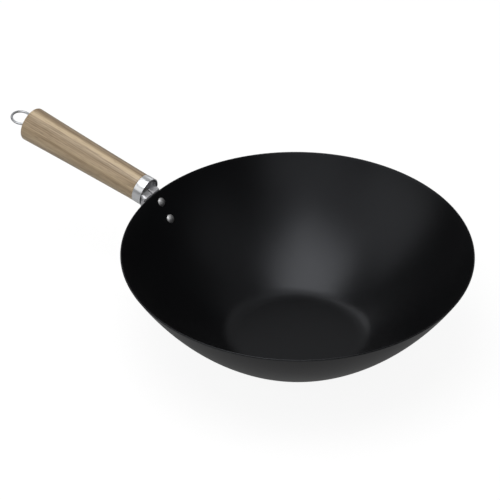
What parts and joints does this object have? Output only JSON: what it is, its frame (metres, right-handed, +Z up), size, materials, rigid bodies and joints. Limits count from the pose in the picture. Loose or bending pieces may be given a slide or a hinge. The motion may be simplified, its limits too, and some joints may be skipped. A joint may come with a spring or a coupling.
{
  "type": "wok",
  "caption": "Flat-based coated carbon steel wok with one long turned wooden grip, held by a riveted folded steel bracket and ending in a wire eye for hanging.",
  "frame": {"origin": "centre of the flat base, on the surface that the wok stands on", "axes": "+Z up through the mouth of the bowl, +X outwards over the grip"},
  "size_m": [0.5433, 0.3551, 0.1474],
  "materials": {
    "coated_steel": "near-black baked coating inside and out, satin with a very fine grain",
    "bracket_steel": "plated pressed sheet, soft grey with brighter rolled edges",
    "rivet_steel": "tumbled domed steel",
    "ferrule_steel": "polished drawn steel",
    "turned_wood": "light turned hardwood with fine lengthwise pores, thin satin lacquer",
    "wire_steel": "drawn and plated wire",
    "nut_steel": "plain zinc-plated nut"
  },
  "bodies": {
    "root": {"bowl": "coated_steel", "bracket": "bracket_steel", "rivet_upper": "rivet_steel", "rivet_lower": "rivet_steel", "ferrule": "ferrule_steel", "grip": "turned_wood", "hanging_loop": "wire_steel", "tie_rod_nut": "nut_steel"}
  },
  "joints": []
}
